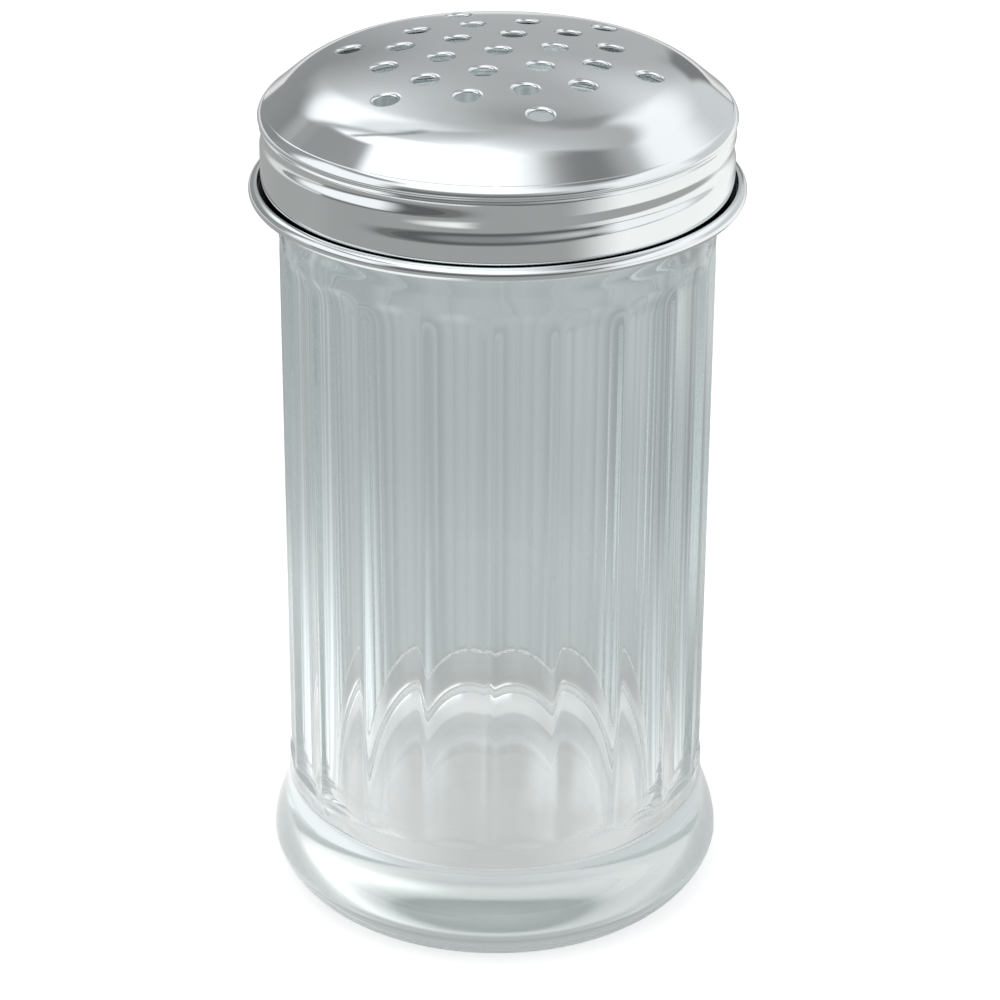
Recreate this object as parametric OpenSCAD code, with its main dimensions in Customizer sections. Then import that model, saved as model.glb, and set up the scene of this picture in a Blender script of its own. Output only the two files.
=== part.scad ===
// Table shaker for sugar: a fluted glass jar with a heavy foot, closed by a
// pressed steel lid that screws on. The lid's dome is punched with round holes.
// Units are millimetres. Z is up, the foot stands on z = 0 and the front is -Y.

/* [Jar] */
// Radius over the ridges between the flutes
body_r = 35.2; // [34.6:0.1:35.6]
// Depth of a flute below the ridges, at its middle
flute_depth = 0.95; // [0.7:0.05:1.3]
// Number of flutes round the jar
flute_n = 20; // [16:1:24]
// Width of the ridge left between two flutes
ridge_w = 0.8; // [0.5:0.1:1.6]
// Turn of the ridge that faces the front, in degrees
ridge_turn = -1.4; // [-9:0.1:9]
// Height where the flutes start, above the foot
flute_z0 = 20.8; // [19.5:0.1:24]
// Height where the flutes end, under the shoulder
flute_z1 = 114.4; // [100:0.1:115]
// Inside radius of the jar
inner_r = 31; // [30:0.1:31.5]
// Height of the inside floor
floor_z = 14.4; // [11:0.1:16]
// Radius of the curve between floor and wall
floor_fillet = 1.6; // [1:0.1:4]

/* [Foot] */
// Largest radius of the foot
foot_r = 38.2; // [37:0.05:39]
// Height of the largest radius
foot_z = 6; // [5:0.1:7.5]
// Height where the foot has run into the body
foot_top = 18.4; // [16:0.1:19]
// Outer radius of the flat ring that the jar stands on
stand_r = 33.6; // [33:0.1:34.6]
// Inner radius of that ring
stand_in_r = 29; // [26:0.1:31]
// Depth of the shallow hollow under the floor
punt_h = 0.5; // [0.3:0.1:3]

/* [Neck] */
// Height where the shoulder starts to turn in
shoulder_z = 118.2; // [117.5:0.1:119]
// Outside radius of the neck
neck_r = 34.8; // [34.5:0.1:34.9]
// Height of the mouth
mouth_z = 137.1; // [136.9:0.05:137.1]

/* [Thread] */
// Rise in one turn, right handed
pitch = 4.1; // [3.9:0.05:4.3]
// Crest radius of the glass thread
glass_crest_r = 36.75; // [36.5:0.05:36.8]
// Crest radius of the thread rolled into the lid
lid_crest_r = 36; // [35.9:0.05:36.2]
// Height of the lid's thread where it passes the front
lid_thread_z = 130; // [129.8:0.05:130.2]

/* [Lid] */
// Thickness of the sheet
sheet = 0.6; // [0.5:0.05:0.6]
// Outside radius of the skirt
skirt_r = 37.8; // [37.75:0.05:37.9]
// Largest radius of the rolled bead round the dome
rim_r = 38.05; // [38:0.05:38.2]
// Height of that bead
rim_z = 136.2; // [136.1:0.02:136.4]
// Radius of the flat middle of the dome
cap_r = 143.4; // [140:0.2:147]
// Radius of the dome's shoulder
dome_r = 14.3; // [14:0.1:14.8]
// Slope of the dome where its middle meets the shoulder, in degrees
cap_a = 10.9; // [10.6:0.1:11.2]
// Slope of the dome where it meets the bead, in degrees
dome_a = 40.6; // [40:0.1:41.4]
// Height of the middle of the rolled edge at the foot of the skirt
curl_z = 123.85; // [123.8:0.05:124]
// Radius of the rolled edge's section
curl_t = 1.15; // [1.05:0.05:1.2]
// Outside radius of the rolled edge
curl_r = 39.75; // [39.5:0.05:39.8]

/* [Holes] */
// Diameter of each hole
hole_d = 4.2; // [3.5:0.1:5]
// Distance between neighbouring holes
hole_gap = 9.24; // [8.8:0.02:9.6]
// Radius of the six outermost holes
hole_ring_r = 24.4; // [23.4:0.1:24.6]
// Turn of the hole pattern, in degrees
hole_turn = 15.4; // [0:0.1:60]

/* [Seal ring] */
// Outside radius
seal_out_r = 34.8; // [34.4:0.1:34.8]
// Inside radius
seal_in_r = 31.7; // [31.5:0.1:32.4]
// Thickness
seal_h = 1.2; // [0.8:0.1:1.2]

/* [Hidden] */
$fn = 96;

// ---- jar ----
// radius of the cutter that leaves the ridges ridge_w wide
flute_half = 180 / flute_n - ridge_w / body_r * 90 / PI;
flute_in = body_r * (1 - cos(flute_half));
flute_w = body_r * sin(flute_half);
flute_u = flute_depth - flute_in;
flute_cut_r = (flute_w * flute_w + flute_u * flute_u) / (2 * flute_u);
flute_cut_at = body_r - flute_depth + flute_cut_r;
flute_sweep = asin((flute_w + 0.15) / flute_cut_r);

heel_p = 1.45;
function heel_r(z) = stand_r + (foot_r - stand_r) * pow(1 - pow((foot_z - z) / foot_z, heel_p), 1 / heel_p);
function foot_fair(z) = body_r + (foot_r - body_r) * (1 + cos(180 * (z - foot_z) / (foot_top - foot_z))) / 2;
function shoulder_r(z) = neck_r + (body_r - neck_r) * (1 + cos(180 * (z - shoulder_z) / 2.4)) / 2;

jar_outer = concat(
    [for (i = [0 : 10]) let (r = stand_in_r * i / 10) [r, punt_h * (1 - pow(i / 10, 2.4))]],
    [for (i = [0 : 10]) let (z = foot_z * pow(i / 10, 1.7)) [heel_r(z), z]],
    [for (i = [1 : 14]) let (z = foot_z + (foot_top - foot_z) * i / 14) [foot_fair(z), z]],
    [for (i = [0 : 6]) let (z = shoulder_z + 2.4 * i / 6) [shoulder_r(z), z]],
    [for (i = [0 : 6]) let (a = 90 * i / 6) [neck_r - 1.2 * (1 - cos(a)), mouth_z - 1.2 * (1 - sin(a))]]
);
jar_inner = concat(
    [for (i = [0 : 6]) let (a = 90 * i / 6) [inner_r + 1.1 * (1 - sin(a)), mouth_z - 1.1 * (1 - cos(a))]],
    [for (i = [0 : 8]) let (a = 90 * i / 8) [inner_r - floor_fillet * (1 - cos(a)), floor_z + floor_fillet * (1 - sin(a))]],
    [[0, floor_z - 0.6]]
);

// ---- thread: a bar with a four-sided section, run up a helix ----
// t0, t1: turn in degrees from the front; ra: radius of its buried side; rb: of
// its crest; rc: of its crest at the faded ends; wa, wb: widths there
function fade(i, n, k) = let (x = min(1, i / k, (n - i) / k)) x * x * (3 - 2 * x);
function bar_pts(t0, t1, n, z0, ra, rb, rc, wa, wb, k) = [
    for (i = [0 : n])
        let (t = t0 + (t1 - t0) * i / n, f = fade(i, n, k), r = rc + (rb - rc) * f, z = z0 + pitch * t / 360)
        for (p = [[ra, -wa / 2], [r, -wb / 2], [r, wb / 2], [ra, wa / 2]])
            [p[0] * sin(t), -p[0] * cos(t), z + p[1]]
];
// flip is 1 when the buried side is the inner one
function bar_faces(n, flip) = concat(
    [for (i = [0 : n - 1]) for (k = [0 : 3])
        let (a = 4 * i + k, b = 4 * i + (k + 1) % 4, c = a + 4, d = b + 4)
        for (f = [[a, c, b], [b, c, d]]) flip == 1 ? [f[2], f[1], f[0]] : f],
    [for (f = [[0, 1, 2], [0, 2, 3]]) flip == 1 ? [f[2], f[1], f[0]] : f],
    [for (f = [[4 * n + 2, 4 * n + 1, 4 * n], [4 * n + 3, 4 * n + 2, 4 * n]]) flip == 1 ? [f[2], f[1], f[0]] : f]
);
module bar(t0, t1, n, z0, ra, rb, rc, wa, wb, k) {
    polyhedron(points = bar_pts(t0, t1, n, z0, ra, rb, rc, wa, wb, k),
               faces = bar_faces(n, ra > rb ? 0 : 1), convexity = 10);
}

module glass_jar() {
    color([0.86, 0.92, 0.91, 0.4])
    union() {
        difference() {
            rotate_extrude() polygon(concat(jar_outer, jar_inner));
            for (k = [0 : flute_n - 1])
                rotate([0, 0, ridge_turn - 90 + (k + 0.5) * 360 / flute_n])
                    translate([flute_cut_at, 0, 0])
                        rotate([0, 0, 180 - flute_sweep])
                            rotate_extrude(angle = 2 * flute_sweep) polygon([
                                [flute_cut_r - 4, flute_z0],
                                [flute_cut_r - flute_depth - 0.2, flute_z0],
                                [flute_cut_r, flute_z0 + 1.5],
                                [flute_cut_r, flute_z1 - 0.8],
                                [flute_cut_r - flute_depth - 0.2, flute_z1 + 1.6],
                                [flute_cut_r - 4, flute_z1 + 1.6]]);
        }
        // the moulded thread, faded at both ends
        bar(-330, 250, 112, lid_thread_z + pitch / 2, neck_r - 0.7, glass_crest_r, neck_r - 0.3, 2.9, 1.1, 7);
    }
}

// ---- lid ----
skirt_in_r = skirt_r - sheet;
// outline of the sheet from the middle of the dome outwards: [radius, height, slope]
rim_f = 0.8;
cone_r1 = rim_r - rim_f * (1 - sin(dome_a));
cone_z1 = rim_z + rim_f * cos(dome_a);
arc_r0 = cap_r * sin(cap_a);
arc_r1 = arc_r0 + dome_r * (sin(dome_a) - sin(cap_a));
arc_z1 = cone_z1 + (cone_r1 - arc_r1) * tan(dome_a);
arc_z0 = arc_z1 + dome_r * (cos(cap_a) - cos(dome_a));
apex_z = arc_z0 + cap_r * (1 - cos(cap_a));

dome_line = concat(
    [for (i = [0 : 14]) let (a = cap_a * i / 14) [cap_r * sin(a), apex_z - cap_r * (1 - cos(a)), a]],
    [for (i = [1 : 14]) let (a = cap_a + (dome_a - cap_a) * i / 14)
        [arc_r0 + dome_r * (sin(a) - sin(cap_a)), arc_z0 - dome_r * (cos(cap_a) - cos(a)), a]],
    [for (i = [0 : 5]) let (a = dome_a + (90 - dome_a) * i / 5)
        [rim_r - rim_f * (1 - sin(a)), rim_z + rim_f * cos(a), a]]
);
// the dome runs down to a bead of radius bead_r, and a shallow crease lies under the bead
bead_r = 1.1;
bead_c = rim_r - bead_r;
bead_in = rim_r - 0.85;
lid_outer = concat(
    [for (i = [0 : 28]) [dome_line[i][0], dome_line[i][1]]],
    [[bead_in, arc_z1 - (bead_in - arc_r1) * tan(dome_a)]],
    [for (i = [0 : 12]) let (a = 24 + (126 - 24) * i / 12) [bead_c + bead_r * sin(a), rim_z + bead_r * cos(a)]],
    [[skirt_r - 0.18, rim_z - 0.95], [skirt_r - 0.16, rim_z - 1.14], [skirt_r - 0.06, rim_z - 1.42], [skirt_r, rim_z - 1.64]],
    [[skirt_r, curl_z - 0.72]]
);
lid_inner = concat(
    [[skirt_r - 0.15, curl_z - 0.9], [skirt_in_r + 0.12, curl_z - 0.9], [skirt_in_r, curl_z - 0.7]],
    [[skirt_in_r, rim_z - 1.4], [rim_r - sheet, rim_z]],
    [for (i = [len(dome_line) - 7 : -1 : 0]) let (p = dome_line[i]) [p[0] - sheet * sin(p[2]), p[1] - sheet * cos(p[2])]]
);
curl_c = curl_r - curl_t;

hole_at = concat(
    [for (i = [-2 : 2]) for (j = [-2 : 2]) if (abs(i + j) <= 2)
        [hole_gap * (i + j / 2), hole_gap * j * sqrt(3) / 2]],
    [for (k = [0 : 5]) [hole_ring_r * cos(30 + 60 * k), hole_ring_r * sin(30 + 60 * k)]]
);

module shaker_lid() {
    color([0.80, 0.81, 0.82])
    difference() {
        union() {
            rotate_extrude() polygon(concat(lid_outer, lid_inner));
            // rolled edge, open on top beside the skirt
            difference() {
                rotate_extrude() translate([curl_c, curl_z]) circle(r = curl_t, $fn = 48);
                rotate_extrude() polygon([[skirt_in_r + 0.2, curl_z - 0.2], [skirt_r + 0.56, curl_z - 0.2],
                    [skirt_r + 0.56, curl_z + 2], [skirt_in_r + 0.2, curl_z + 2]]);
            }
            // inner side of the rolled thread
            bar(-30, 349, 76, lid_thread_z, skirt_in_r + 0.34, lid_crest_r, skirt_in_r + 0.12, 2.5, 1.0, 6);
        }
        // outer side of the rolled thread
        bar(-28, 347, 76, lid_thread_z, skirt_r + 0.7, skirt_r - 0.58, skirt_r + 0.15, 4.0, 0.8, 7);
        // the punched holes
        rotate([0, 0, hole_turn])
            for (p = hole_at)
                translate([p[0], p[1], apex_z - 12]) cylinder(d = hole_d, h = 14, $fn = 36);
    }
}

module seal_ring() {
    color([0.90, 0.89, 0.85])
    rotate_extrude() polygon([
        [seal_in_r, mouth_z + 0.05], [seal_out_r - 0.15, mouth_z + 0.05], [seal_out_r, mouth_z + 0.2],
        [seal_out_r, mouth_z + seal_h - 0.35], [seal_out_r - 0.4, mouth_z + seal_h + 0.05], [seal_in_r, mouth_z + seal_h + 0.05]]);
}

glass_jar();
seal_ring();
shaker_lid();
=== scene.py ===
import math

import bpy
import numpy as np
from mathutils import Matrix, Vector
from mathutils.geometry import delaunay_2d_cdt


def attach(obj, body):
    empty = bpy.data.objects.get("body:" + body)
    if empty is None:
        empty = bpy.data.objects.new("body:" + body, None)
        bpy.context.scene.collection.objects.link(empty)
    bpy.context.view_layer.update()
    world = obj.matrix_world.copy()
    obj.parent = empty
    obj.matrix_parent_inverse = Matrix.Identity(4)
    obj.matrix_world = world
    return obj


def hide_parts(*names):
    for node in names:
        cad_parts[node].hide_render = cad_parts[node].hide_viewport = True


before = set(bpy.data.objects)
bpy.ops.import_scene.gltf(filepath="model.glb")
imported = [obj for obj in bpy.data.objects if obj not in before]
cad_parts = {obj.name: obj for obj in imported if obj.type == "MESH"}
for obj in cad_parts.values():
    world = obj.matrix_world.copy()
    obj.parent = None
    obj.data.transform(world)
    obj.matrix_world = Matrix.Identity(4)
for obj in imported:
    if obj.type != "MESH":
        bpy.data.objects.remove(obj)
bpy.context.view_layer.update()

MM = 0.001
scene = bpy.context.scene


def sin(a):
    return math.sin(math.radians(a))


def cos(a):
    return math.cos(math.radians(a))


# ---------------------------------------------------------------- dimensions, mm
BODY_R, FLUTE_DEPTH, FLUTE_N, RIDGE_W, RIDGE_TURN = 35.2, 0.95, 20, 0.8, -1.4
FLUTE_Z0, FLUTE_Z1, BAND_R = 20.8, 114.4, 35.42
INNER_R, FLOOR_Z, FLOOR_FILLET = 31.0, 14.4, 1.6
FOOT_R, FOOT_Z, FOOT_TOP, STAND_R, STAND_IN_R, PUNT_H = 38.2, 6.0, 18.4, 33.6, 29.0, 0.5
SHOULDER_Z, NECK_R, MOUTH_Z = 118.2, 34.8, 137.1
PITCH, GLASS_CREST_R, LID_CREST_R, LID_THREAD_Z = 4.1, 36.75, 36.0, 130.0
SHEET, SKIRT_R, RIM_R, RIM_Z, RIM_F = 0.6, 37.8, 38.05, 136.2, 0.8
CAP_R, DOME_R, CAP_A, DOME_A = 143.4, 14.3, 10.9, 40.6
CURL_Z, CURL_T, CURL_R = 123.85, 1.15, 39.75
HOLE_D, HOLE_GAP, HOLE_RING_R, HOLE_TURN = 3.8, 9.24, 24.4, 15.4
SEAL_OUT_R, SEAL_IN_R, SEAL_H = 34.8, 31.7, 1.2


# ---------------------------------------------------------------- mesh helpers
def smooth01(x):
    x = np.clip(x, 0.0, 1.0)
    return x * x * (3.0 - 2.0 * x)


def ring_quads(rows, n, base=0, flip=False):
    """Quads between successive rings of n points, facing outwards when the rings climb."""
    out = []
    for i in range(rows - 1):
        a, b = base + i * n, base + (i + 1) * n
        for j in range(n):
            k = (j + 1) % n
            q = (a + j, a + k, b + k, b + j)
            out.append(q[::-1] if flip else q)
    return out


def fan(pole, base, n, flip=False):
    out = []
    for j in range(n):
        f = (pole, base + (j + 1) % n, base + j)
        out.append(f[::-1] if flip else f)
    return out


def make_object(name, verts, faces, normals=None):
    me = bpy.data.meshes.new(name)
    me.from_pydata([(float(x) * MM, float(y) * MM, float(z) * MM) for x, y, z in verts], [], faces)
    me.polygons.foreach_set("use_smooth", [True] * len(me.polygons))
    me.update()
    if normals is not None:
        me.normals_split_custom_set_from_vertices([tuple(float(c) for c in v) for v in normals])
    ob = bpy.data.objects.new(name, me)
    scene.collection.objects.link(ob)
    return ob


def around(t, r, z):
    """Points at t degrees from the front towards the right."""
    a = np.radians(t)
    return np.stack([r * np.sin(a), -r * np.cos(a), z + 0.0 * r], -1)


# ---------------------------------------------------------------- glass jar
flute_half = 180 / FLUTE_N - RIDGE_W / BODY_R * 90 / math.pi
flute_in = BODY_R * (1 - cos(flute_half))
flute_w = BODY_R * sin(flute_half)
flute_u = FLUTE_DEPTH - flute_in
flute_cut_r = (flute_w ** 2 + flute_u ** 2) / (2 * flute_u)
flute_cut_at = BODY_R - FLUTE_DEPTH + flute_cut_r

half_steps = [0.0, 0.22, 0.44, 0.66, 0.95, 1.35, 1.9, 2.6, 3.4, 4.2, 5.0, 5.8, 6.6, 7.4, 8.2]
flute_steps = [-9.0] + [-s for s in half_steps[:0:-1]] + half_steps
JT = np.array([RIDGE_TURN + 18.0 * k + s for k in range(FLUTE_N) for s in flute_steps])
JN = len(JT)
from_ridge = np.array([abs(s) for k in range(FLUTE_N) for s in flute_steps])


def flute_back(z):
    """How far the flute's surface is set back out of the wall at a height, mm."""
    foot = np.clip((z - FLUTE_Z0) / 2.2, 0.0, 1.0)
    top = np.clip((FLUTE_Z1 + 1.6 - z) / 5.2, 0.0, 1.0)
    up = min(1.0 - (1.0 - foot) ** 2.4, 1.0 - (1.0 - top) ** 3.0)
    return (FLUTE_DEPTH + 0.25) * (1.0 - up)


def fluted(r, z):
    """Radius of the wall all round at one height: the plain radius, or the flute where that is deeper."""
    phi = np.radians(9.0 - from_ridge)
    cut = flute_cut_r - flute_back(z)
    rf = flute_cut_at * np.cos(phi) - np.sqrt(np.maximum(cut ** 2 - (flute_cut_at * np.sin(phi)) ** 2, 0.01))
    k = 0.07 + 0.26 * min(1.0, flute_back(z) / 0.25)
    m = np.minimum(r, rf)
    return m - k * np.log(np.exp(-(r - m) / k) + np.exp(-(rf - m) / k))


def helix(t, z, t0, t1, z_front, fade):
    """Signed height above the nearest turn of a thread, and its strength there."""
    best = np.full(len(t), 99.0)
    gain = np.zeros(len(t))
    tt = np.mod(t + 180.0, 360.0) - 180.0
    for m in (-2, -1, 0, 1, 2):
        u = tt + 360.0 * m
        dz = z - (z_front + PITCH * u / 360.0)
        g = smooth01(np.minimum(u - t0, t1 - u) / fade)
        near = (np.abs(dz) < np.abs(best)) & (g > 0)
        best = np.where(near, dz, best)
        gain = np.where(near, g, gain)
    return best, gain


def jar_mesh():
    rings = []  # each: (radius array, height)

    def plain(r, z):
        rings.append(around(JT, np.full(JN, float(r)), float(z)))

    for x in (0.25, 0.55, 0.8, 0.94):
        plain(STAND_IN_R * x, PUNT_H * (1 - x ** 2.4))
    for r, z in ((28.9, 0.03), (29.3, 0.0), (31.5, 0.0), (33.3, 0.0)):
        plain(r, z)
    heel_p = 1.45
    for i in range(0, 14):
        z = FOOT_Z * (i / 13) ** 1.7
        plain(STAND_R + (FOOT_R - STAND_R) * (1 - ((FOOT_Z - z) / FOOT_Z) ** heel_p) ** (1 / heel_p), z)
    for i in range(1, 15):
        z = FOOT_Z + (FOOT_TOP - FOOT_Z) * i / 14
        plain(BAND_R + (FOOT_R - BAND_R) * (1 + cos(180 * (z - FOOT_Z) / (FOOT_TOP - FOOT_Z))) / 2, z)
    heights = [19.4, 20.4]
    heights += [FLUTE_Z0 - 0.1 + 0.12 * i for i in range(20)]
    heights += [24.2, 26, 32, 42, 54, 66, 78, 90, 100, 107, 110.2]
    heights += [FLUTE_Z1 - 3.6 + 0.48 * i for i in range(12)]
    heights += [117.2]
    for z in heights:
        # the plain band under the flutes stands a little proud of the ridges
        proud = (BAND_R - BODY_R) * float(smooth01(np.array((FLUTE_Z0 + 0.9 - z) / 0.9)))
        rings.append(around(JT, fluted(BODY_R + proud, z), z))
    for i in range(0, 6):
        z = SHOULDER_Z + 2.4 * i / 5
        plain(NECK_R + (BODY_R - NECK_R) * (1 + cos(180 * (z - SHOULDER_Z) / 2.4)) / 2, z)
    for i in range(0, 34):
        z = 124.6 + (MOUTH_Z - 1.25 - 124.6) * i / 33
        dz, g = helix(JT, z, -330, 250, LID_THREAD_Z + PITCH / 2, 38.0)
        rings.append(around(JT, NECK_R + (GLASS_CREST_R - NECK_R) * g * smooth01((1.45 - np.abs(dz)) / 1.0), z))
    for i in range(0, 6):
        a = 90 * i / 5
        plain(NECK_R - 1.2 * (1 - cos(a)), MOUTH_Z - 1.2 * (1 - sin(a)))
    for i in range(0, 6):
        a = 90 * i / 5
        plain(INNER_R + 1.1 * (1 - sin(a)), MOUTH_Z - 1.1 * (1 - cos(a)))
    turn = np.radians(JT)
    wavy = 0.05 * np.sin(3 * turn + 1.0) + 0.035 * np.sin(7 * turn + 2.1) + 0.022 * np.sin(13 * turn + 0.4) + 0.012 * np.sin(20 * turn + 1.7)
    for z in (130, 118, 106, 92, 78, 64, 50, 38, 28, 22, 18.4, 16.6):
        k = float(smooth01(np.array((130 - z) / 14.0)) * smooth01(np.array((z - 18.0) / 14.0)))
        rings.append(around(JT, INNER_R + k * wavy * (1.0 + 0.3 * math.sin(z / 17.0)), z))
    for i in range(0, 10):
        a = 90 * i / 9
        plain(INNER_R - FLOOR_FILLET * (1 - cos(a)), FLOOR_Z + FLOOR_FILLET * (1 - sin(a)))
    edge = INNER_R - FLOOR_FILLET
    for x in (0.985, 0.93, 0.75, 0.45, 0.15):
        plain(edge * x, FLOOR_Z - 0.6 * (1 - x * x))
    verts = np.concatenate(rings + [np.array([[0, 0, PUNT_H], [0, 0, FLOOR_Z - 0.6]])])
    n = len(rings)
    faces = ring_quads(n, JN)
    faces += fan(n * JN, 0, JN)
    faces += fan(n * JN + 1, (n - 1) * JN, JN, flip=True)
    return make_object("jar_glass", verts, faces)


# ---------------------------------------------------------------- steel lid
cone_r1 = RIM_R - RIM_F * (1 - sin(DOME_A))
cone_z1 = RIM_Z + RIM_F * cos(DOME_A)
arc_r0 = CAP_R * sin(CAP_A)
arc_r1 = arc_r0 + DOME_R * (sin(DOME_A) - sin(CAP_A))
arc_z1 = cone_z1 + (cone_r1 - arc_r1) * math.tan(math.radians(DOME_A))
arc_z0 = arc_z1 + DOME_R * (cos(CAP_A) - cos(DOME_A))
apex_z = arc_z0 + CAP_R * (1 - cos(CAP_A))


def dome_slope(r):
    """Slope of the dome's outside in radians at a radius."""
    cap = np.arcsin(np.clip(r / CAP_R, 0, 1))
    arc = np.arcsin(np.clip((r - arc_r0) / DOME_R + sin(CAP_A), 0, 1))
    return np.minimum(np.where(r < arc_r0, cap, arc), math.radians(DOME_A))


def dome_z(r):
    """Height of the dome's outside at a radius."""
    a = dome_slope(r)
    cap = apex_z - CAP_R * (1 - np.cos(a))
    arc = arc_z0 - DOME_R * (cos(CAP_A) - np.cos(a))
    cone = arc_z1 - (r - arc_r1) * math.tan(math.radians(DOME_A))
    return np.where(r < arc_r0, cap, np.where(r < arc_r1, arc, cone))


line_r = np.linspace(0, cone_r1, 400)
line_a = dome_slope(line_r)
in_r = line_r - SHEET * np.sin(line_a)
in_z = dome_z(line_r) - SHEET * np.cos(line_a)


def under_z(r):
    """Height of the dome's underside at a radius."""
    return np.interp(r, in_r, in_z)


def hole_places():
    spots = [
        (HOLE_GAP * (i + j / 2), HOLE_GAP * j * math.sqrt(3) / 2)
        for i in range(-2, 3) for j in range(-2, 3) if abs(i + j) <= 2
    ]
    spots += [(HOLE_RING_R * cos(30 + 60 * k), HOLE_RING_R * sin(30 + 60 * k)) for k in range(6)]
    c, s = cos(HOLE_TURN), sin(HOLE_TURN)
    return [(c * x - s * y, s * x + c * y) for x, y in spots]


LN = 300
LT = np.arange(LN) * 360.0 / LN
BEAD_IN, BEAD_R, BEAD_F = 37.04, 2.4, 0.35


def lid_mesh():
    verts, normals, faces = [], [], []

    def add(points, nrm):
        start = sum(len(v) for v in verts)
        verts.append(np.asarray(points, float))
        normals.append(np.asarray(nrm, float))
        return start

    # the dome, laid out in plan and then raised
    hole_r, lip, drop, burr, hn = HOLE_D / 2, 0.58, 0.46, 0.1, 36
    holes = hole_places()
    turn = np.radians(np.arange(hn) * 360.0 / hn)
    edge = around(LT, np.full(LN, arc_r1), 0.0)[:, :2]
    plan = [tuple(p) for p in edge]
    edges = [(j, (j + 1) % LN) for j in range(LN)]
    for cx, cy in holes:
        b = len(plan)
        plan += [(cx + (hole_r + lip) * math.cos(a), cy + (hole_r + lip) * math.sin(a)) for a in turn]
        edges += [(b + j, b + (j + 1) % hn) for j in range(hn)]
    step = 1.05
    for j in range(-40, 41):
        for i in range(-40, 41):
            x, y = step * (i + 0.5 * (j % 2)), step * j * math.sqrt(3) / 2
            if math.hypot(x, y) > arc_r1 - 0.6:
                continue
            if min(math.hypot(x - cx, y - cy) for cx, cy in holes) < hole_r + lip + 0.42:
                continue
            plan.append((x, y))
    pv, _, pf, _, _, _ = delaunay_2d_cdt([Vector(p) for p in plan], edges, [], 0, 1e-7)
    pv = np.array([(v.x, v.y) for v in pv])
    if len(pv) != len(plan):
        raise RuntimeError("the plan of the dome gained points")
    tri = []
    for f in pf:
        c = pv[list(f)].mean(0)
        if min(math.hypot(c[0] - cx, c[1] - cy) for cx, cy in holes) < (hole_r + lip) * 0.995:
            continue
        a, b, d = (pv[i] for i in f[:3])
        up = (b[0] - a[0]) * (d[1] - a[1]) - (b[1] - a[1]) * (d[0] - a[0])
        tri.append(tuple(f) if up > 0 else tuple(f[::-1]))
    rr = np.hypot(pv[:, 0], pv[:, 1])
    sl = dome_slope(rr)
    out = pv / np.maximum(rr, 1e-9)[:, None]
    nrm = np.stack([out[:, 0] * np.sin(sl), out[:, 1] * np.sin(sl), np.cos(sl)], -1)
    top = add(np.stack([pv[:, 0], pv[:, 1], dome_z(rr)], -1), nrm)
    # the underside follows the same plan, drawn in a little so that the sheet keeps its thickness at the edge
    squeeze = 1.0 - (SHEET * sin(DOME_A) / arc_r1) * smooth01((rr - 30.0) / (arc_r1 - 30.0))
    low = add(np.stack([pv[:, 0] * squeeze, pv[:, 1] * squeeze, under_z(rr * squeeze)], -1), -nrm)
    faces.extend(tuple(top + i for i in f) for f in tri)
    faces.extend(tuple(low + i for i in f[::-1]) for f in tri)

    # the punched holes: a rounded lip above, a plain wall, a small edge below
    for h, (cx, cy) in enumerate(holes):
        ring0 = top + LN + h * hn
        ring9 = low + LN + h * hn
        ux, uy = np.cos(turn), np.sin(turn)
        loops = [ring0]

        def loop(rad, fall, tilt, under):
            x, y = cx + rad * ux, cy + rad * uy
            r = np.hypot(x, y)
            a = dome_slope(r)
            z = (under_z(r) + fall) if under else (dome_z(r) - fall)
            s = -1.0 if under else 1.0
            n = np.stack([s * np.sin(a) * x / np.maximum(r, 1e-9), s * np.sin(a) * y / np.maximum(r, 1e-9), s * np.cos(a)], -1)
            n = n * math.cos(tilt) + np.stack([-ux, -uy, 0 * ux], -1) * math.sin(tilt)
            n /= np.linalg.norm(n, axis=1)[:, None]
            return add(np.stack([x, y, z], -1), n)

        for b in (16, 32, 46, 58, 68, 78, 90):
            tilt = math.atan2(drop * sin(b), lip * cos(b))
            loops.append(loop(hole_r + lip * (1 - sin(b)), drop * (1 - cos(b)), tilt, False))
        for b in (90, 55, 25):
            loops.append(loop(hole_r + burr * (1 - sin(b)), burr * (1 - cos(b)), math.radians(b), True))
        loops.append(ring9)
        for a, b in zip(loops[:-1], loops[1:]):
            for j in range(hn):
                k = (j + 1) % hn
                faces.append((a + j, a + k, b + k, b + j))

    # the edge, the skirt with its rolled thread, the rolled lower edge, and back up inside
    rows = []

    def ring(r, z):
        rows.append(around(LT, np.asarray(r, float) + np.zeros(LN), float(z)))

    for i in range(1, 9):
        r = arc_r1 + (BEAD_IN - arc_r1) * i / 8
        ring(r, dome_z(np.array(r)))
    # a small rolled bead stands at the edge, with a shallow crease under it
    bead_z = float(dome_z(np.array(BEAD_IN)))
    for a in (34, 38, 42, 46, 50, 54, 58, 62, 66, 70, 73, 76):
        ring(BEAD_IN + BEAD_R * (sin(a) - sin(34)), bead_z - BEAD_R * (cos(34) - cos(a)))
    under_r, under_bead = BEAD_IN + BEAD_R * (sin(76) - sin(34)), bead_z - BEAD_R * (cos(34) - cos(76))
    for a in (83, 90, 97, 105, 113, 121, 128):
        ring(under_r + BEAD_F * (sin(a) - sin(76)), under_bead - BEAD_F * (cos(76) - cos(a)))
    for r, z in ((37.73, 135.45), (37.66, 135.38), (37.62, 135.29), (37.61, 135.20), (37.63, 135.10), (37.67, 134.98),
                 (37.72, 134.86), (37.77, 134.72), (SKIRT_R, 134.56)):
        ring(r, z)

    def groove(z):
        dz, g = helix(LT, z, -44, 366, LID_THREAD_Z + 0.2, 36.0)
        return SKIRT_R - 0.54 * g * smooth01((2.2 - np.abs(dz)) / 2.15)

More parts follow.
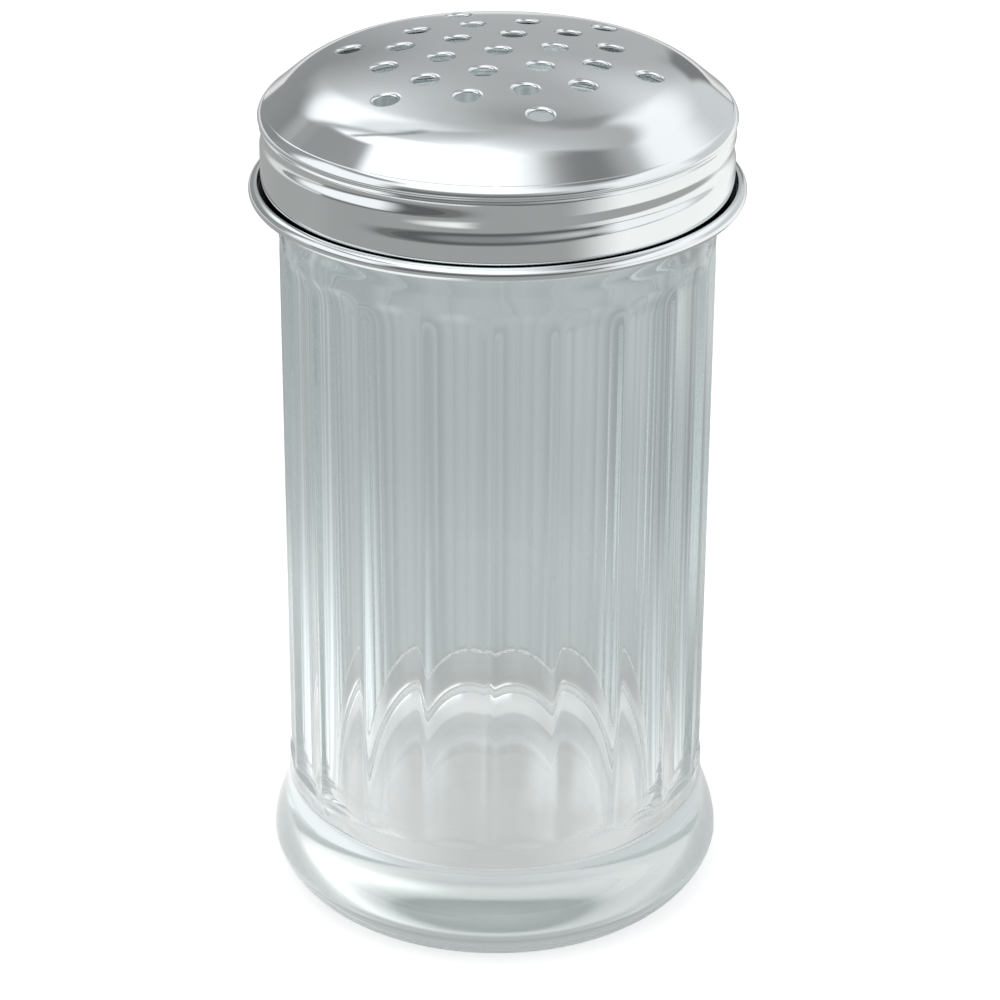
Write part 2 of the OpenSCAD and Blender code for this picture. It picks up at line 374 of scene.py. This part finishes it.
    for z in np.arange(134.4, 124.85, -0.16):
        ring(groove(z), z)
    gap_r = SKIRT_R + 0.46
    for r, z in ((SKIRT_R, 124.6), (SKIRT_R, 124.1), (SKIRT_R, 123.85), (SKIRT_R + 0.06, 123.72), (SKIRT_R + 0.28, 123.66),
                 (gap_r - 0.05, 123.72), (gap_r, 123.85), (gap_r, 124.3), (gap_r, 124.68)):
        ring(r, z)
    curl_c = CURL_R - CURL_T
    first = math.degrees(math.acos((gap_r + 0.13 - curl_c) / CURL_T))
    ring(gap_r + 0.03, CURL_Z + CURL_T * sin(first) - 0.09)
    for i in range(0, 31):
        a = first - (first + 138) * i / 30
        ring(curl_c + CURL_T * cos(a), CURL_Z + CURL_T * sin(a))
    inner = SKIRT_R - SHEET
    for r, z in ((37.6, 123.2), (37.42, 123.5), (37.28, 123.9), (inner, 124.5)):
        ring(r, z)

    def ridge(z):
        dz, g = helix(LT, z, -30, 349, LID_THREAD_Z, 34.0)
        return inner - (inner - LID_CREST_R) * g * smooth01((1.6 - np.abs(dz)) / 1.3)

    for z in np.arange(124.9, RIM_Z - 1.5, 0.3):
        ring(ridge(z), z)
    ring(inner, RIM_Z - 1.2)
    ring(inner + 0.1, RIM_Z - 0.6)
    ring(inner + 0.16, RIM_Z - 0.2)
    for i in range(0, 5):
        a = 78 - (78 - DOME_A) * i / 4
        ring(RIM_R - RIM_F * (1 - sin(a)) - SHEET * sin(a), RIM_Z + RIM_F * cos(a) - SHEET * cos(a))
    for i in range(4, 0, -1):
        r = arc_r1 + (cone_r1 - arc_r1) * i / 5
        ring(r - SHEET * sin(DOME_A), float(dome_z(np.array(r))) - SHEET * cos(DOME_A))
    grid = np.stack(rows)
    first_ring = np.stack([edge[:, 0], edge[:, 1], dome_z(np.full(LN, arc_r1))], -1)
    last_ring = verts[1][:LN]
    full = np.concatenate([first_ring[None], grid, last_ring[None]])
    along = np.empty_like(full)
    along[1:-1] = full[2:] - full[:-2]
    along[0], along[-1] = full[1] - full[0], full[-1] - full[-2]
    across = np.roll(full, -1, axis=1) - np.roll(full, 1, axis=1)
    gn = np.cross(along, across)
    gn /= np.linalg.norm(gn, axis=-1, keepdims=True)
    start = add(grid.reshape(-1, 3), gn[1:-1].reshape(-1, 3))
    faces.extend(ring_quads(len(rows), LN, start, flip=True))
    for j in range(LN):
        k = (j + 1) % LN
        faces.append((top + j, start + j, start + k, top + k))
        e = start + (len(rows) - 1) * LN
        faces.append((e + j, low + j, low + k, e + k))
    return make_object("lid_steel", np.concatenate(verts), faces, np.concatenate(normals))


# ---------------------------------------------------------------- seal ring
def seal_mesh():
    n = 160
    t = np.arange(n) * 360.0 / n
    z0, z1 = MOUTH_Z + 0.05, MOUTH_Z + SEAL_H + 0.05
    rows = []

    def ring(r, z):
        rows.append(around(t, np.full(n, float(r)), float(z)))

    f = 0.18
    for i in range(5):
        a = 90 * i / 4
        ring(SEAL_IN_R + f * (1 - sin(a)), z0 + f * (1 - cos(a)))
    for r in (32.6, 32.9, 33.2, 33.5):
        ring(r, z0 + (0.1 if r in (32.9, 33.2) else 0.0))
    for i in range(5):
        a = 90 * i / 4
        ring(SEAL_OUT_R - f * (1 - sin(a)), z0 + f * (1 - cos(a)))
    for i in range(5):
        a = 90 * i / 4
        ring(SEAL_OUT_R - 0.4 * (1 - cos(a)), z1 - 0.4 * (1 - sin(a)))
    for r in (33.5, 33.2, 32.9, 32.6):
        ring(r, z1 - (0.1 if r in (32.9, 33.2) else 0.0))
    for i in range(5):
        a = 90 * i / 4
        ring(SEAL_IN_R + f * (1 - sin(a)), z1 - f * (1 - cos(a)))
    verts = np.concatenate(rows)
    faces = ring_quads(len(rows), n)
    last = (len(rows) - 1) * n
    for j in range(n):
        k = (j + 1) % n
        faces.append((last + j, last + k, k, j))
    return make_object("seal_gasket", verts, faces)


# ---------------------------------------------------------------- materials
def new_material(name):
    m = bpy.data.materials.new(name)
    m.use_nodes = True
    m.node_tree.nodes.clear()
    return m, m.node_tree


def node(nt, kind, **values):
    n = nt.nodes.new(kind)
    for k, v in values.items():
        setattr(n, k, v)
    return n


def glass_material():
    m, nt = new_material("clear_glass")
    out = node(nt, "ShaderNodeOutputMaterial")
    b = node(nt, "ShaderNodeBsdfPrincipled")
    b.inputs["Base Color"].default_value = (0.972, 0.985, 0.983, 1)
    b.inputs["Transmission Weight"].default_value = 1.0
    b.inputs["IOR"].default_value = 1.5
    co = node(nt, "ShaderNodeTexCoord")
    fine = node(nt, "ShaderNodeTexNoise")
    fine.inputs["Scale"].default_value = 160.0
    fine.inputs["Detail"].default_value = 2.0
    rough = node(nt, "ShaderNodeMapRange")
    rough.inputs["From Min"].default_value = 0.35
    rough.inputs["From Max"].default_value = 0.75
    rough.inputs["To Min"].default_value = 0.0
    rough.inputs["To Max"].default_value = 0.012
    stretch = node(nt, "ShaderNodeMapping")
    stretch.inputs["Scale"].default_value = (1.0, 1.0, 0.12)
    wave = node(nt, "ShaderNodeTexNoise")
    wave.inputs["Scale"].default_value = 60.0
    wave.inputs["Detail"].default_value = 1.5
    bump = node(nt, "ShaderNodeBump")
    bump.inputs["Strength"].default_value = 0.05
    bump.inputs["Distance"].default_value = 0.0004
    nt.links.new(co.outputs["Object"], fine.inputs["Vector"])
    nt.links.new(fine.outputs["Fac"], rough.inputs["Value"])
    # the ring that the jar stands on is stippled, as it is on moulded glass
    place = node(nt, "ShaderNodeSeparateXYZ")
    under = node(nt, "ShaderNodeMapRange")
    under.inputs["From Min"].default_value = 0.0048
    under.inputs["From Max"].default_value = 0.0007
    under.inputs["To Min"].default_value = 0.0
    under.inputs["To Max"].default_value = 1.0
    level = node(nt, "ShaderNodeVectorMath", operation="MULTIPLY")
    level.inputs[1].default_value = (1, 1, 0)
    reach = node(nt, "ShaderNodeVectorMath", operation="LENGTH")
    edge = node(nt, "ShaderNodeMapRange")
    edge.inputs["From Min"].default_value = 0.0240
    edge.inputs["From Max"].default_value = 0.0265
    edge.inputs["To Min"].default_value = 0.05
    edge.inputs["To Max"].default_value = 0.5
    stipple = node(nt, "ShaderNodeMath", operation="MULTIPLY")
    total = node(nt, "ShaderNodeMath", operation="ADD")
    nt.links.new(co.outputs["Object"], place.inputs["Vector"])
    nt.links.new(co.outputs["Object"], level.inputs[0])
    nt.links.new(level.outputs["Vector"], reach.inputs[0])
    nt.links.new(reach.outputs["Value"], edge.inputs["Value"])
    nt.links.new(place.outputs["Z"], under.inputs["Value"])
    nt.links.new(under.outputs["Result"], stipple.inputs[0])
    nt.links.new(edge.outputs["Result"], stipple.inputs[1])
    nt.links.new(rough.outputs["Result"], total.inputs[0])
    nt.links.new(stipple.outputs["Value"], total.inputs[1])
    nt.links.new(total.outputs["Value"], b.inputs["Roughness"])
    nt.links.new(co.outputs["Object"], stretch.inputs["Vector"])
    nt.links.new(stretch.outputs["Vector"], wave.inputs["Vector"])
    nt.links.new(wave.outputs["Fac"], bump.inputs["Height"])
    nt.links.new(bump.outputs["Normal"], b.inputs["Normal"])
    nt.links.new(b.outputs["BSDF"], out.inputs["Surface"])
    vol = node(nt, "ShaderNodeVolumeAbsorption")
    vol.inputs["Color"].default_value = (0.74, 0.88, 0.85, 1)
    vol.inputs["Density"].default_value = 4.0
    nt.links.new(vol.outputs["Volume"], out.inputs["Volume"])
    return m


def steel_material():
    m, nt = new_material("polished_steel")
    out = node(nt, "ShaderNodeOutputMaterial")
    b = node(nt, "ShaderNodeBsdfPrincipled")
    b.inputs["Metallic"].default_value = 1.0
    co = node(nt, "ShaderNodeTexCoord")
    # fine polishing marks run round the lid
    xyz = node(nt, "ShaderNodeSeparateXYZ")
    rad = node(nt, "ShaderNodeVectorMath", operation="LENGTH")
    flat = node(nt, "ShaderNodeVectorMath", operation="MULTIPLY")
    flat.inputs[1].default_value = (1, 1, 0)
    pair = node(nt, "ShaderNodeCombineXYZ")
    nt.links.new(co.outputs["Object"], xyz.inputs["Vector"])
    nt.links.new(co.outputs["Object"], flat.inputs[0])
    nt.links.new(flat.outputs["Vector"], rad.inputs[0])
    nt.links.new(rad.outputs["Value"], pair.inputs["X"])
    nt.links.new(xyz.outputs["Z"], pair.inputs["Y"])
    marks = node(nt, "ShaderNodeTexNoise")
    marks.inputs["Scale"].default_value = 2600.0
    marks.inputs["Detail"].default_value = 3.0
    nt.links.new(pair.outputs["Vector"], marks.inputs["Vector"])
    cloud = node(nt, "ShaderNodeTexNoise")
    cloud.inputs["Scale"].default_value = 70.0
    cloud.inputs["Detail"].default_value = 3.0
    nt.links.new(co.outputs["Object"], cloud.inputs["Vector"])
    mix = node(nt, "ShaderNodeMath", operation="MULTIPLY_ADD")
    mix.inputs[1].default_value = 0.12
    nt.links.new(marks.outputs["Fac"], mix.inputs[0])
    nt.links.new(cloud.outputs["Fac"], mix.inputs[2])
    rough = node(nt, "ShaderNodeMapRange")
    rough.inputs["From Min"].default_value = 0.35
    rough.inputs["From Max"].default_value = 0.85
    rough.inputs["To Min"].default_value = 0.04
    rough.inputs["To Max"].default_value = 0.10
    nt.links.new(mix.outputs["Value"], rough.inputs["Value"])
    nt.links.new(rough.outputs["Result"], b.inputs["Roughness"])
    tone = node(nt, "ShaderNodeValToRGB")
    tone.color_ramp.elements[0].position = 0.3
    tone.color_ramp.elements[0].color = (0.805, 0.83, 0.83, 1)
    tone.color_ramp.elements[1].position = 0.75
    tone.color_ramp.elements[1].color = (0.845, 0.868, 0.868, 1)
    nt.links.new(cloud.outputs["Fac"], tone.inputs["Fac"])
    # painted shade: the open seam above the rolled edge is coloured near black, standing in for the shadow in the
    # crevice
    seam = node(nt, "ShaderNodeMath", operation="MULTIPLY")
    for source, edge0, edge1, slot in (("r", 0.03852, 0.03838, 0), ("z", 0.12500, 0.12482, 1)):
        band = node(nt, "ShaderNodeMapRange", interpolation_type="SMOOTHSTEP")
        band.inputs["From Min"].default_value = edge0
        band.inputs["From Max"].default_value = edge1
        nt.links.new(rad.outputs["Value"] if source == "r" else xyz.outputs["Z"], band.inputs["Value"])
        nt.links.new(band.outputs["Result"], seam.inputs[slot])
    deep = node(nt, "ShaderNodeMapRange", interpolation_type="SMOOTHSTEP")
    deep.inputs["From Min"].default_value = 0.12350
    deep.inputs["From Max"].default_value = 0.12362
    nt.links.new(xyz.outputs["Z"], deep.inputs["Value"])
    outer = node(nt, "ShaderNodeMapRange", interpolation_type="SMOOTHSTEP")
    outer.inputs["From Min"].default_value = 0.03766
    outer.inputs["From Max"].default_value = 0.03774
    nt.links.new(rad.outputs["Value"], outer.inputs["Value"])
    there = node(nt, "ShaderNodeMath", operation="MULTIPLY")
    nt.links.new(deep.outputs["Result"], there.inputs[0])
    nt.links.new(outer.outputs["Result"], there.inputs[1])
    # painted shade mask: where the seam's colour is darkened to stand in for shadow
    seam_painted_shade = node(nt, "ShaderNodeMath", operation="MULTIPLY")
    nt.links.new(seam.outputs["Value"], seam_painted_shade.inputs[0])
    nt.links.new(there.outputs["Value"], seam_painted_shade.inputs[1])
    shade = node(nt, "ShaderNodeMix", data_type="RGBA")
    shade.inputs["B"].default_value = (0.012, 0.013, 0.014, 1)
    nt.links.new(seam_painted_shade.outputs["Value"], shade.inputs["Factor"])
    nt.links.new(tone.outputs["Color"], shade.inputs["A"])
    nt.links.new(shade.outputs["Result"], b.inputs["Base Color"])
    bump = node(nt, "ShaderNodeBump")
    bump.inputs["Strength"].default_value = 0.03
    bump.inputs["Distance"].default_value = 0.00005
    nt.links.new(marks.outputs["Fac"], bump.inputs["Height"])
    nt.links.new(bump.outputs["Normal"], b.inputs["Normal"])
    nt.links.new(b.outputs["BSDF"], out.inputs["Surface"])
    return m


def seal_material():
    m, nt = new_material("seal")
    out = node(nt, "ShaderNodeOutputMaterial")
    b = node(nt, "ShaderNodeBsdfPrincipled")
    b.inputs["Subsurface Weight"].default_value = 0.25
    b.inputs["Subsurface Radius"].default_value = (0.002, 0.002, 0.0018)
    co = node(nt, "ShaderNodeTexCoord")
    grain = node(nt, "ShaderNodeTexNoise")
    grain.inputs["Scale"].default_value = 400.0
    grain.inputs["Detail"].default_value = 4.0
    nt.links.new(co.outputs["Object"], grain.inputs["Vector"])
    tone = node(nt, "ShaderNodeValToRGB")
    tone.color_ramp.elements[0].color = (0.74, 0.74, 0.69, 1)
    tone.color_ramp.elements[1].color = (0.88, 0.88, 0.85, 1)
    nt.links.new(grain.outputs["Fac"], tone.inputs["Fac"])
    nt.links.new(tone.outputs["Color"], b.inputs["Base Color"])
    rough = node(nt, "ShaderNodeMapRange")
    rough.inputs["To Min"].default_value = 0.32
    rough.inputs["To Max"].default_value = 0.5
    nt.links.new(grain.outputs["Fac"], rough.inputs["Value"])
    nt.links.new(rough.outputs["Result"], b.inputs["Roughness"])
    bump = node(nt, "ShaderNodeBump")
    bump.inputs["Strength"].default_value = 0.15
    bump.inputs["Distance"].default_value = 0.0002
    nt.links.new(grain.outputs["Fac"], bump.inputs["Height"])
    nt.links.new(bump.outputs["Normal"], b.inputs["Normal"])
    nt.links.new(b.outputs["BSDF"], out.inputs["Surface"])
    return m


# ---------------------------------------------------------------- pieces
jar = jar_mesh()
jar.data.materials.append(glass_material())
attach(jar, "jar")
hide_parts("glass_jar")

lid = lid_mesh()
lid.data.materials.append(steel_material())
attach(lid, "lid")
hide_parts("shaker_lid")

seal = seal_mesh()
seal.data.materials.append(seal_material())
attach(seal, "seal")
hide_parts("seal_ring")


# ---------------------------------------------------------------- studio
def studio_world():
    """A soft white room: grey walls, a light panel overhead and a window behind on each side."""
    w = bpy.data.worlds.new("studio")
    scene.world = w
    w.use_nodes = True
    nt = w.node_tree
    nt.nodes.clear()
    co = node(nt, "ShaderNodeTexCoord")
    d = co.outputs["Generated"]

    def dot(v):
        n = node(nt, "ShaderNodeVectorMath", operation="DOT_PRODUCT")
        nt.links.new(d, n.inputs[0])
        n.inputs[1].default_value = v
        return n.outputs["Value"]

    def math_node(op, a, b=None, c=None, clamp=False):
        n = node(nt, "ShaderNodeMath", operation=op)
        n.use_clamp = clamp
        for i, x in enumerate((a, b, c)):
            if x is None:
                continue
            if isinstance(x, (int, float)):
                n.inputs[i].default_value = x
            else:
                nt.links.new(x, n.inputs[i])
        return n.outputs["Value"]

    def smooth(x, lo, hi, to_lo=0.0, to_hi=1.0):
        n = node(nt, "ShaderNodeMapRange", interpolation_type="SMOOTHSTEP")
        nt.links.new(x, n.inputs["Value"])
        n.inputs["From Min"].default_value = lo
        n.inputs["From Max"].default_value = hi
        n.inputs["To Min"].default_value = to_lo
        n.inputs["To Max"].default_value = to_hi
        return n.outputs["Result"]

    x, y, z = dot((1, 0, 0)), dot((0, 1, 0)), dot((0, 0, 1))
    # compass direction from the back towards the right, and height above the horizon, in degrees
    az = math_node("DEGREES", math_node("ARCTAN2", x, y))
    el = math_node("DEGREES", math_node("ARCSINE", z))

    def both(*masks):
        m = masks[0]
        for n in masks[1:]:
            m = math_node("MULTIPLY", m, n)
        return m

    def lay(under, mask, bright):
        n = math_node("SUBTRACT", bright, under)
        return math_node("MULTIPLY_ADD", n, mask, under)

    # a large panel overhead, towards the left and the front, and the ceiling glowing round it
    high = math_node("MAXIMUM", z, 0.05)
    gx, gy = math_node("DIVIDE", x, high), math_node("DIVIDE", y, high)
    slant = math_node("ADD", math_node("MULTIPLY", gx, 0.75), math_node("MULTIPLY", gy, 0.66))
    out_of = math_node("MAXIMUM", math_node("SUBTRACT", gy, 0.165), math_node("SUBTRACT", slant, 0.03))
    glow = math_node("EXPONENT", math_node("MULTIPLY", math_node("MAXIMUM", out_of, 0.0), -5.9))
    level = math_node("MULTIPLY_ADD", glow, 0.74, 0.47)
    level = math_node("ADD", level, smooth(out_of, 0.0, -0.12, 0.0, 0.12))
    # walls
    level = lay(level, both(math_node("MAXIMUM", smooth(az, -14, -30), smooth(az, 128, 150)), smooth(el, 36, 24)), 0.29)
    level = lay(level, both(smooth(az, -2, -10), smooth(az, -40, -30), smooth(el, 24, 14)), 0.31)
    sill = math_node("MULTIPLY_ADD", math_node("MAXIMUM", math_node("ADD", az, 60.0), -15.0), 0.6, el)
    level = lay(level, both(smooth(az, -50, -60), smooth(az, -130, -105), smooth(sill, 42, 47)), 1.32)
    level = lay(level, both(smooth(az, -48, -56), smooth(az, -132, -112), smooth(sill, 46, 41)), 0.34)
    level = lay(level, both(smooth(az, 4, 26), smooth(az, 178, 130), smooth(el, 54, 47)), 0.70)
    level = lay(level, both(smooth(y, 0.0, -0.35), smooth(el, 20, 7)), 0.13)
    # the window at the left, with its dark frame
    level = lay(level, both(smooth(az, -51, -42), smooth(az, 2, -20), smooth(el, 61, 55), smooth(el, 20, 34)), 0.92)
    level = lay(level, both(smooth(az, -50, -43), smooth(az, -6, -22), smooth(el, 51, 43), smooth(el, 25, 35)), 1.25)
    ring = math_node("ADD", math_node("POWER", math_node("DIVIDE", math_node("ADD", az, 36.0), 26.0), 2.0),
                     math_node("POWER", math_node("DIVIDE", math_node("SUBTRACT", el, 43.0), 17.0), 2.0))
    off = math_node("ABSOLUTE", math_node("SUBTRACT", math_node("SQRT", ring), 1.03))
    level = lay(level, both(smooth(off, 0.12, 0.02), smooth(az, -16, -30), smooth(el, 44, 50)), 0.34)
    # bright side walls, low down
    level = lay(level, both(smooth(az, -66, -78), smooth(az, -136, -120), smooth(el, -2, 6), smooth(el, 46, 38)), 1.1)
    level = lay(level, both(smooth(az, 70, 84), smooth(az, 136, 120), smooth(el, -2, 6), smooth(el, 44, 34)), 1.05)
    # the wider window at the right
    lean = math_node("SUBTRACT", az, math_node("MULTIPLY", math_node("SUBTRACT", el, 36.0), 0.9))
    level = lay(level, both(smooth(lean, -8, 1), smooth(lean, 15, 7), smooth(el, 34, 42), smooth(el, 60, 50)), 0.33)
    level = lay(level, both(smooth(lean, 8, 24), smooth(az, 116, 100), smooth(el, 52, 44), smooth(el, 18, 36)), 1.10)
    level = lay(level, both(smooth(az, 76, 92), smooth(az, 178, 108), smooth(el, 84, 64), smooth(el, 45, 56)), 0.24)
    level = lay(level, both(smooth(az, 8, 11), smooth(az, 22, 18), smooth(el, 18, 13)), 0.23)
    # seen through the glass the room is plain: bright at the sides and dimmer straight behind
    turn = math_node("ABSOLUTE", az)
    through = lay(smooth(el, 14, 26, 0.36, 0.66), smooth(turn, 20, 56), 0.70)
    through = lay(through, both(smooth(az, 14, 34), smooth(az, 84, 64), smooth(el, 46, 38), smooth(el, 14, 26)), 0.98)
    through = lay(through, smooth(turn, 62, 92), 0.9)
    through = lay(through, smooth(el, 46, 58), 0.9)
    through = lay(through, smooth(el, 18, 3), 0.54)
    rays = node(nt, "ShaderNodeLightPath")
    level = lay(level, rays.outputs["Is Transmission Ray"], through)
    tint = node(nt, "ShaderNodeCombineColor")
    nt.links.new(math_node("MULTIPLY", level, 0.975), tint.inputs["Red"])
    nt.links.new(level, tint.inputs["Green"])
    nt.links.new(math_node("MULTIPLY", level, 1.02), tint.inputs["Blue"])
    env = node(nt, "ShaderNodeBackground")
    nt.links.new(tint.outputs["Color"], env.inputs["Color"])
    white = node(nt, "ShaderNodeBackground")
    white.inputs["Color"].default_value = (1, 1, 1, 1)
    path = node(nt, "ShaderNodeLightPath")
    mixer = node(nt, "ShaderNodeMixShader")
    nt.links.new(path.outputs["Is Camera Ray"], mixer.inputs["Fac"])
    nt.links.new(env.outputs["Background"], mixer.inputs[1])
    nt.links.new(white.outputs["Background"], mixer.inputs[2])
    out = node(nt, "ShaderNodeOutputWorld")
    nt.links.new(mixer.outputs["Shader"], out.inputs["Surface"])


def studio_floor():
    size = 6.0
    me = bpy.data.meshes.new("floor")
    me.from_pydata([(-size, -size, 0), (size, -size, 0), (size, size, 0), (-size, size, 0)], [], [(0, 1, 2, 3)])
    ob = bpy.data.objects.new("floor", me)
    ob.location.z = -0.0002
    scene.collection.objects.link(ob)
    m, nt = new_material("floor")
    out = node(nt, "ShaderNodeOutputMaterial")
    diff = node(nt, "ShaderNodeBsdfDiffuse")
    diff.inputs["Color"].default_value = (0.7, 0.7, 0.7, 1)
    glow = node(nt, "ShaderNodeEmission")
    glow.inputs["Color"].default_value = (1, 1, 1, 1)
    glow.inputs["Strength"].default_value = 0.6
    seen = node(nt, "ShaderNodeAddShader")
    nt.links.new(diff.outputs["BSDF"], seen.inputs[0])
    nt.links.new(glow.outputs["Emission"], seen.inputs[1])
    # in the glass and the steel the table top is brightest at the right and close to the foot
    geo = node(nt, "ShaderNodeNewGeometry")
    at = node(nt, "ShaderNodeSeparateXYZ")
    nt.links.new(geo.outputs["Position"], at.inputs["Vector"])

    def calc(op, a, b=None, c=None):
        n = node(nt, "ShaderNodeMath", operation=op)
        for i, v in enumerate((a, b, c)):
            if v is None:
                continue
            if isinstance(v, (int, float)):
                n.inputs[i].default_value = v
            else:
                nt.links.new(v, n.inputs[i])
        return n.outputs["Value"]

    def ease(v, lo, hi, to_lo=0.0, to_hi=1.0):
        n = node(nt, "ShaderNodeMapRange", interpolation_type="SMOOTHSTEP")
        nt.links.new(v, n.inputs["Value"])
        for key, val in (("From Min", lo), ("From Max", hi), ("To Min", to_lo), ("To Max", to_hi)):
            n.inputs[key].default_value = val
        return n.outputs["Result"]

    far = calc("SQRT", calc("ADD", calc("POWER", at.outputs["X"], 2.0), calc("POWER", at.outputs["Y"], 2.0)))
    way = calc("DEGREES", calc("ARCTAN2", at.outputs["X"], at.outputs["Y"]))
    back = ease(at.outputs["Y"], -0.10, 0.04)
    level = calc("MULTIPLY_ADD", back, 0.03, 0.39)
    level = calc("MULTIPLY_ADD", calc("MULTIPLY", back, ease(far, 0.5, 1.6)), 0.4, level)
    level = calc("MULTIPLY", level, calc("MULTIPLY_ADD", calc("MULTIPLY", calc("SUBTRACT", 1.0, back), ease(far, 0.35, 1.2)), -0.5, 1.0))
    side = calc("MULTIPLY", calc("MULTIPLY", ease(way, 16.0, 44.0), ease(way, 152.0, 118.0)), ease(far, 0.19, 0.27))
    level = calc("MULTIPLY_ADD", calc("SUBTRACT", 1.05, level), side, level)
    near = ease(far, 0.11, 0.05)
    close = calc("MULTIPLY_ADD", back, 0.12, 0.55)
    left = calc("MULTIPLY", ease(at.outputs["X"], -0.012, -0.045), ease(far, 0.17, 0.10))
    level = calc("MULTIPLY_ADD", calc("SUBTRACT", close, level), near, level)
    level = calc("MULTIPLY_ADD", calc("SUBTRACT", 1.1, level), left, level)

    # seen through the glass it is lit round the foot, most of all at both sides
    def round_foot(stops):
        reach = 0.25
        n = node(nt, "ShaderNodeValToRGB")
        n.color_ramp.interpolation = "B_SPLINE"
        while len(n.color_ramp.elements) < len(stops):
            n.color_ramp.elements.new(0.5)
        for e, (r, v) in zip(n.color_ramp.elements, stops):
            e.position = r / reach
            e.color = (v / 2, v / 2, v / 2, 1)
        nt.links.new(calc("DIVIDE", far, reach), n.inputs["Fac"])
        return calc("MULTIPLY", n.outputs["Color"], 2.0)

    behind = round_foot(((0.0, 0.61), (0.016, 0.59), (0.026, 0.58), (0.032, 0.62), (0.036, 0.68), (0.040, 0.78), (0.0445, 0.84),
                         (0.050, 0.44), (0.056, 0.44), (0.065, 0.46), (0.078, 0.50), (0.110, 0.50), (0.135, 0.475), (0.175, 0.43),
                         (0.250, 0.46)))
    beside = round_foot(((0.0, 0.0), (0.012, 0.03), (0.022, 0.18), (0.028, 0.2), (0.032, 0.14), (0.036, 0.06), (0.041, 0.04),
                         (0.050, 0.36), (0.056, 0.40), (0.065, 0.42), (0.078, 0.38), (0.093, 0.32), (0.110, 0.26), (0.135, 0.18),
                         (0.175, 0.08), (0.220, 0.0)))
    turn = calc("ABSOLUTE", way)
    beside = calc("MULTIPLY", beside, calc("MULTIPLY", ease(turn, 20.0, 54.0), ease(turn, 168.0, 120.0)))
    beside = calc("MULTIPLY", beside, ease(at.outputs["X"], -0.03, -0.09, 1.0, 1.5))
    beside = calc("MULTIPLY", beside, ease(at.outputs["X"], 0.04, 0.10, 1.0, 0.4))
    patch = calc("MULTIPLY", calc("MULTIPLY", ease(way, -2.0, -9.0), ease(way, -40.0, -24.0)),
                 calc("MULTIPLY", ease(far, 0.037, 0.041), ease(far, 0.052, 0.047)))
    ring = calc("MULTIPLY", calc("MULTIPLY", ease(far, 0.030, 0.033), ease(far, 0.040, 0.036)), ease(turn, 36.0, 14.0))
    bow = calc("MULTIPLY", ease(at.outputs["X"], 0.003, 0.013), calc("MULTIPLY", ease(far, 0.034, 0.029), ease(turn, 100.0, 70.0)))
    dim = calc("MULTIPLY", calc("MULTIPLY", ease(way, 14.0, 36.0), ease(way, 170.0, 120.0)), ease(far, 0.10, 0.18))
    through = calc("ADD", behind, beside)
    through = calc("MULTIPLY_ADD", patch, 0.62, through)
    through = calc("MULTIPLY_ADD", ring, 0.14, through)
    through = calc("MULTIPLY_ADD", bow, 0.09, through)
    through = calc("MULTIPLY_ADD", dim, -0.09, through)
    glint = calc("MULTIPLY", calc("MULTIPLY", ease(way, -60.0, -85.0), ease(way, -165.0, -140.0)), calc("MULTIPLY", ease(far, 0.024, 0.031), ease(far, 0.055, 0.045)))
    through = calc("MULTIPLY_ADD", glint, 0.16, through)
    through = calc("MULTIPLY_ADD", ease(far, 0.28, 0.8), 0.08, through)
    # soft streaks of light and shade fan out from the foot
    streak = calc("ADD", calc("MULTIPLY", calc("SINE", calc("MULTIPLY_ADD", way, 0.083, 0.9)), 0.07),
                  calc("MULTIPLY", calc("SINE", calc("MULTIPLY_ADD", way, 0.171, 2.0)), 0.04))
    edges = calc("MULTIPLY", calc("SINE", calc("MULTIPLY_ADD", way, 0.31, 1.0)), ease(turn, 35.0, 60.0, 0.0, 0.17))
    streak = calc("MULTIPLY", calc("ADD", streak, edges), ease(far, 0.045, 0.07))
    through = calc("MULTIPLY", through, calc("ADD", streak, 1.0))
    rays = node(nt, "ShaderNodeLightPath")
    level = calc("MULTIPLY_ADD", calc("SUBTRACT", through, level), rays.outputs["Is Transmission Ray"], level)
    grey = node(nt, "ShaderNodeEmission")
    cool = node(nt, "ShaderNodeMix", data_type="RGBA")
    cool.inputs["A"].default_value = (0.985, 1.0, 0.995, 1)
    cool.inputs["B"].default_value = (0.93, 1.0, 1.02, 1)
    nt.links.new(calc("MULTIPLY", rays.outputs["Is Transmission Ray"], ease(far, 0.05, 0.09)), cool.inputs["Factor"])
    nt.links.new(cool.outputs["Result"], grey.inputs["Color"])
    nt.links.new(level, grey.inputs["Strength"])
    path = node(nt, "ShaderNodeLightPath")
    mixer = node(nt, "ShaderNodeMixShader")
    nt.links.new(path.outputs["Is Camera Ray"], mixer.inputs["Fac"])
    nt.links.new(grey.outputs["Emission"], mixer.inputs[1])
    nt.links.new(seen.outputs["Shader"], mixer.inputs[2])
    nt.links.new(mixer.outputs["Shader"], out.inputs["Surface"])
    me.materials.append(m)


studio_world()
studio_floor()

# ---------------------------------------------------------------- camera
cam_data = bpy.data.cameras.new("camera")
cam_data.sensor_width = 36.0
cam_data.lens = 123.834
cam_data.clip_start, cam_data.clip_end = 0.01, 30.0
camera = bpy.data.objects.new("camera", cam_data)
camera.matrix_world = (
    Matrix.Translation((0.000633, -0.514905, 0.320386))
    @ Matrix.Rotation(math.radians(90.0 - 26.161), 4, "X")
    @ Matrix.Rotation(math.radians(0.299), 4, "Z")
)
scene.collection.objects.link(camera)
scene.camera = camera

scene.view_settings.view_transform = "Standard"
scene.view_settings.look = "None"
scene.cycles.max_bounces = 48
scene.cycles.transmission_bounces = 32
scene.cycles.glossy_bounces = 32
